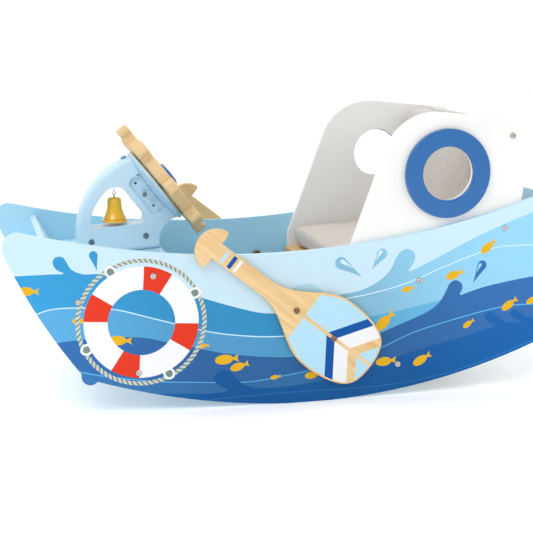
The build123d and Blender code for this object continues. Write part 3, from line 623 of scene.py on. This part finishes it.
# Lines along the bend that the print is cut on, so that it follows the panel's curve.
BEND_STEPS, BEND_REACH = 7, 420
BEND_CUTS = []
for step in range(BEND_STEPS + 1):
    u = -step * BEND_R * BEND_ANGLE / BEND_STEPS
    middle = Vector((BEND_X + u * math.cos(BEND_RAKE), BEND_Z + u * math.sin(BEND_RAKE)))
    along = Vector((-math.sin(BEND_RAKE), math.cos(BEND_RAKE))) * BEND_REACH
    BEND_CUTS.append((tuple(middle - along), tuple(middle + along)))


HULL_FACING = 0.997         # smallest cosine between a side panel's face and straight out
hull_shapes = waves() + splashes() + [(fish(*f), "gold") for f in FISH]
hull_shapes += rope_round_ring() + life_ring()
for name, side in SIDES.items():
    loops = face_loops(name + "_hull_panel", (0, side, 0), HULL_FACING, level)
    film(name + "_hull_print", loops, hull_shapes, "pale", hull_point, side, list(INKS), BEND_CUTS)

# ---- the print on the paddles -------------------------------------------------------------------------
WOOD_HALF = 2.6             # half width of the bare line down the blade
FIELD_AT, FIELD_END = 15.0, 260.0       # the blade's ground colour, along the paddle and past its tip
SLOPE = 1 / 1.38            # of the V's arms
BLADE_WIDE, SHAFT_WIDE = 90.0, 40.0     # more than half of the blade's and of the shaft's widths
NAVY_V, WHITE_V, WOOD_V, AFTER_V = 59, 75, 102, 118    # where each V starts on the middle line
PADDLE_FACING = 0.99999     # smallest cosine between the paddle's face and straight out
BARE_EDGE = 1.0             # bare wood round the print, mm


def chevron(start, end):
    """Half of a V between two places on the blade's middle line, open towards its tip."""
    return [(start + WOOD_HALF * SLOPE, WOOD_HALF), (start + BLADE_WIDE * SLOPE, BLADE_WIDE),
            (end + BLADE_WIDE * SLOPE, BLADE_WIDE), (end + WOOD_HALF * SLOPE, WOOD_HALF)]


PADDLE_INKS = ["blade_blue", "blade_navy", "blade_white"]


def paddle_print():
    """Three stripes on the shaft, and the blade's field with its V's. The last V is left bare."""
    shapes = []
    for a, wide, colour in ((-140, 5, "blade_blue"), (-127, 6.5, "blade_navy"), (-116, 5, "blade_white")):
        stripe = [(a, -SHAFT_WIDE), (a + wide, -SHAFT_WIDE), (a + wide, SHAFT_WIDE), (a, SHAFT_WIDE)]
        shapes.append((stripe, colour))
    field = [(FIELD_AT, WOOD_HALF), (FIELD_AT, BLADE_WIDE),
             (FIELD_END, BLADE_WIDE), (FIELD_END, WOOD_HALF)]
    half = [(field, "blade_blue"), (chevron(NAVY_V, WHITE_V), "blade_navy"),
            (chevron(WHITE_V, WOOD_V), "blade_white"), (chevron(WOOD_V, AFTER_V), None)]
    for outline, colour in half:
        shapes.append((outline, colour))
        shapes.append(([(a, -up) for a, up in outline], colour))
    return shapes


def inset(loop, distance):
    """A closed outline moved inwards."""
    pts = [Vector(p) for p in loop]
    area = sum(a.x * b.y - a.y * b.x for a, b in zip(pts, pts[1:] + pts[:1]))
    turn = 1 if area > 0 else -1
    out = []
    for before, p, after in zip(pts[-1:] + pts[:-1], pts, pts[1:] + pts[:1]):
        along = (after - before).normalized()
        out.append(tuple(p + Vector((-along.y, along.x)) * distance * turn))
    return out


for name, side in SIDES.items():
    loops = face_loops(name + "_paddle", (0, side, 0), PADDLE_FACING, lambda p: on_paddle(p, side))
    loops.sort(key=lambda loop: -max(abs(a) for a, _ in loop))
    loops[0] = inset(loops[0], BARE_EDGE)
    film(name + "_paddle_print", loops, paddle_print(), None, paddle_point, side, PADDLE_INKS)

# ---- finishes of the solid pieces ---------------------------------------------------------------------
UP = row(0, 0, ARC_R + 1) - row(0, 0, ARC_R)
ACROSS = Vector((0, 1, 0))
WHEEL_NORMAL = Vector(next(j for j in frame["joints"] if j["name"] == "wheel_spin")["axis"])
PADDLE_ALONG = Vector((math.cos(PADDLE_ANGLE + PITCH), 0, math.sin(PADDLE_ANGLE + PITCH)))
PALE_EDGE = rgb(196, 228, 245)
SIDE_DIRECTION = tuple(ACROSS)
HULL_INSIDE = rgb(170, 220, 244)
WHITE_EDGE = rgb(250, 250, 248)


def finish(material, *names):
    """Gives the solid pieces a material, in every slot they have."""
    for name in names:
        data = nodes[name].data
        if not data.materials:
            data.materials.append(material)
        for slot in nodes[name].material_slots:
            slot.material = material


finish(painted("hull_paint", HULL_INSIDE, 0.4, PALE_EDGE, SIDE_DIRECTION),
       "port_hull_panel", "starboard_hull_panel")
finish(painted("board_paint", rgb(190, 227, 244), 0.42),
       "bow_board", "stern_board", "foredeck", "stretcher")
finish(painted("floor_paint", rgb(150, 200, 226), 0.5), "floor_board")
finish(painted("cabin_paint", rgb(243, 243, 240), 0.5, WHITE_EDGE, SIDE_DIRECTION),
       "port_cabin_side", "starboard_cabin_side")
finish(painted("back_paint", rgb(232, 229, 225), 0.5), "back_board")
finish(plywood("seat_plywood", (0, 1, 0), UP), "seat_board")
finish(plywood("rail_wood", (0, 1, 0), UP), "seat_front_rail", "seat_rear_rail")
finish(plywood("wheel_plywood", (0, 1, 0), WHEEL_NORMAL, rgb(240, 213, 166), rgb(220, 181, 124)),
       "steering_wheel")
finish(plywood("paddle_plywood", PADDLE_ALONG, ACROSS, rgb(238, 207, 156), rgb(222, 181, 122)),
       "port_paddle", "starboard_paddle")
finish(moulded("console_plastic", rgb(203, 232, 247), 0.36, 0.2),
       "console_port_half", "console_starboard_half")
finish(moulded("dash_plastic", rgb(196, 226, 242), 0.36, 0.2), "dash")
# The plug's mid blue is painted shade: it stands for the console's far side, seen in shade where the arch
# meets the dash.
finish(moulded("plug_plastic", rgb(52, 142, 216), 0.25, 0.5), "top_plug")
finish(moulded("ring_plastic", rgb(0, 98, 168), 0.24, 0.3), "port_porthole_ring", "starboard_porthole_ring")
finish(moulded("cap_plastic", rgb(0, 100, 178), 0.24, 0.6), "wheel_hub_cap")
finish(moulded("spacer_plastic", rgb(222, 222, 220), 0.45), "paddle_spacers")
finish(moulded("bell_enamel", rgb(255, 190, 0), 0.14, 1.0), "bell")
finish(metal("clapper_brass", rgb(214, 168, 70), 0.25, 0.8), "bell_clapper")
finish(woven("string_cotton", rgb(238, 236, 228), 0.0006), "bell_string")
finish(metal("nickel", rgb(208, 204, 198), 0.3, 0.62),
       "port_hull_screws", "starboard_hull_screws", "cabin_screws")
finish(metal("bronze", rgb(146, 116, 98), 0.3, 0.55), "paddle_bolts", "paddle_nuts", "weight_screws")
finish(metal("dark_zinc", rgb(150, 158, 164), 0.3, 0.5), "console_screws", "console_foot_screws")
finish(metal("axle_steel", rgb(196, 198, 202), 0.26, 0.8), "wheel_axle", "wheel_washer")
finish(metal("ballast_steel", rgb(120, 124, 130), 0.45, 0.7), "bow_weight")


# ---- cushions -----------------------------------------------------------------------------------------
PAD_MARGIN = 0.005          # how far inside its node a pad starts, and how far it may swell, metres
PAD_VOXEL, PAD_PRESSURE, PAD_FRAMES, PAD_FILL = 0.006, 4.0, 20, 0.7


def outer_shell(node):
    """A node's outside as a new mesh, without the hollow in it."""
    mesh = bmesh.new()
    mesh.from_mesh(nodes[node].data)
    bmesh.ops.remove_doubles(mesh, verts=mesh.verts, dist=1e-6)
    far = max(mesh.verts, key=lambda v: v.co.x)
    reached, edge = {far}, [far]
    while edge:
        v = edge.pop()
        for e in v.link_edges:
            w = e.other_vert(v)
            if w not in reached:
                reached.add(w)
                edge.append(w)
    bmesh.ops.delete(mesh, geom=[v for v in mesh.verts if v not in reached], context="VERTS")
    data = bpy.data.meshes.new(node + "_shell")
    mesh.to_mesh(data)
    mesh.free()
    return data


def apply_modifiers(obj):
    evaluated = obj.evaluated_get(bpy.context.evaluated_depsgraph_get())
    data = bpy.data.meshes.new_from_object(evaluated)
    obj.modifiers.clear()
    obj.data = data


def cushion(name, node, material):
    """A stuffed pad in the place of a node. It starts inside the node by a margin and is blown up
    as cloth, and nothing in it moves further than that margin."""
    made = bpy.data.objects.new(name, outer_shell(node))
    bpy.context.scene.collection.objects.link(made)
    low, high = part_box(node)
    middle = (low + high) / 2
    size = high - low
    for v in made.data.vertices:
        for axis in range(3):
            away = v.co[axis] - middle[axis]
            v.co[axis] = middle[axis] + away * (1 - 2 * PAD_MARGIN / size[axis])
    remesh = made.modifiers.new("remesh", "REMESH")
    remesh.mode = "VOXEL"
    remesh.voxel_size = PAD_VOXEL
    apply_modifiers(made)
    start = [v.co.copy() for v in made.data.vertices]
    cloth = made.modifiers.new("cloth", "CLOTH")
    cloth.settings.use_pressure = True
    cloth.settings.uniform_pressure_force = PAD_PRESSURE
    cloth.settings.effector_weights.gravity = 0.0
    cloth.settings.quality = 5
    for number in range(1, PAD_FRAMES + 1):
        bpy.context.scene.frame_set(number)
    apply_modifiers(made)
    bpy.context.scene.frame_set(1)
    for v, was in zip(made.data.vertices, start):
        move = v.co - was
        if move.length > PAD_MARGIN:
            v.co = was + move.normalized() * PAD_MARGIN
    made.modifiers.new("even", "SUBSURF").levels = 1
    apply_modifiers(made)
    for polygon in made.data.polygons:
        polygon.use_smooth = True
    made.data.materials.clear()
    made.data.materials.append(material)
    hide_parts(node)
    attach(made, "boat")
    return made


canvas = woven("cushion_canvas", rgb(218, 210, 202))
cushion("seat_pad", "seat_cushion", canvas)
cushion("back_pad", "back_cushion", canvas)

# ---- floor, light and camera ----------------------------------------------------------------------------
FLOOR_SIZE, FLOOR_SQUARES = 7.0, 24
FLOOR_BELOW, FLOOR_GLOW = 0.0005, 0.22  # metres under the keel, and the paper's own light
floor_mesh = bmesh.new()
bmesh.ops.create_grid(floor_mesh, x_segments=FLOOR_SQUARES, y_segments=FLOOR_SQUARES, size=FLOOR_SIZE)
floor_data = bpy.data.meshes.new("studio_floor")
floor_mesh.to_mesh(floor_data)
floor_mesh.free()
floor = bpy.data.objects.new("studio_floor", floor_data)
floor.location.z = -FLOOR_BELOW
bpy.context.scene.collection.objects.link(floor)
floor_paper = Shader("studio_paper", Roughness=0.8, Specular_IOR_Level=0.15)
floor_tone = floor_paper.mix(floor_paper.noise(3, 2), rgb(252, 252, 252), rgb(248, 248, 248))
floor_paper.set("Base Color", floor_tone)
floor_paper.set("Emission Color", (1.0, 1.0, 1.0, 1.0))
floor_paper.set("Emission Strength", FLOOR_GLOW)
floor_data.materials.append(floor_paper.material)

ROOM_FRONT = 0.68           # strength of the room's light in front of the boat
world = bpy.data.worlds.new("studio")
bpy.context.scene.world = world
world.use_nodes = True
background = world.node_tree.nodes["Background"]
background.inputs["Color"].default_value = (1.0, 1.0, 1.0, 1.0)
# The room is white behind the boat, and dimmer in front of it, so that its near side keeps its colours.
direction = world.node_tree.nodes.new("ShaderNodeTexCoord").outputs["Generated"]
parts = world.node_tree.nodes.new("ShaderNodeSeparateXYZ")
dimmer = world.node_tree.nodes.new("ShaderNodeMapRange")
world.node_tree.links.new(direction, parts.inputs[0])
world.node_tree.links.new(parts.outputs["Y"], dimmer.inputs["Value"])
for socket, value in (("From Min", -0.3), ("From Max", 0.4), ("To Min", ROOM_FRONT), ("To Max", 1.0)):
    dimmer.inputs[socket].default_value = value
world.node_tree.links.new(dimmer.outputs["Result"], background.inputs["Strength"])
bpy.context.scene.view_settings.view_transform = "Standard"


def softbox(name, place, aim, size, power):
    """A rectangular lamp, size in metres and power in watts."""
    light = bpy.data.lights.new(name, "AREA")
    light.shape = "RECTANGLE"
    light.size, light.size_y = size
    light.energy = power
    made = bpy.data.objects.new(name, light)
    bpy.context.scene.collection.objects.link(made)
    made.location = place
    made.rotation_euler = (Vector(aim) - Vector(place)).to_track_quat("-Z", "Y").to_euler()


AIM = (0.0, 0.0, 0.2)
softbox("key", (-1.4, -1.6, 2.4), AIM, (1.8, 1.4), 24)
softbox("fill", (1.9, -1.5, 1.5), AIM, (1.6, 1.6), 8)
softbox("top", (0.2, 0.8, 2.6), AIM, (2.4, 1.6), 14)

CAMERA_AT = Vector((-0.5017, -1.932, 0.5561))
LENS, SENSOR = 84.36, 36.0  # mm
CAMERA_YAW, CAMERA_DOWN, CAMERA_ROLL = math.radians(13.52), math.radians(10.83), math.radians(-0.4)
looks = Vector((math.sin(CAMERA_YAW) * math.cos(CAMERA_DOWN),
                math.cos(CAMERA_YAW) * math.cos(CAMERA_DOWN), -math.sin(CAMERA_DOWN)))
lens = bpy.data.cameras.new("camera")
lens.lens, lens.sensor_width = LENS, SENSOR
camera = bpy.data.objects.new("camera", lens)
bpy.context.scene.collection.objects.link(camera)
camera.location = CAMERA_AT
camera.rotation_mode = "QUATERNION"
camera.rotation_quaternion = looks.to_track_quat("-Z", "Y") @ Quaternion((0, 0, 1), CAMERA_ROLL)
bpy.context.scene.camera = camera
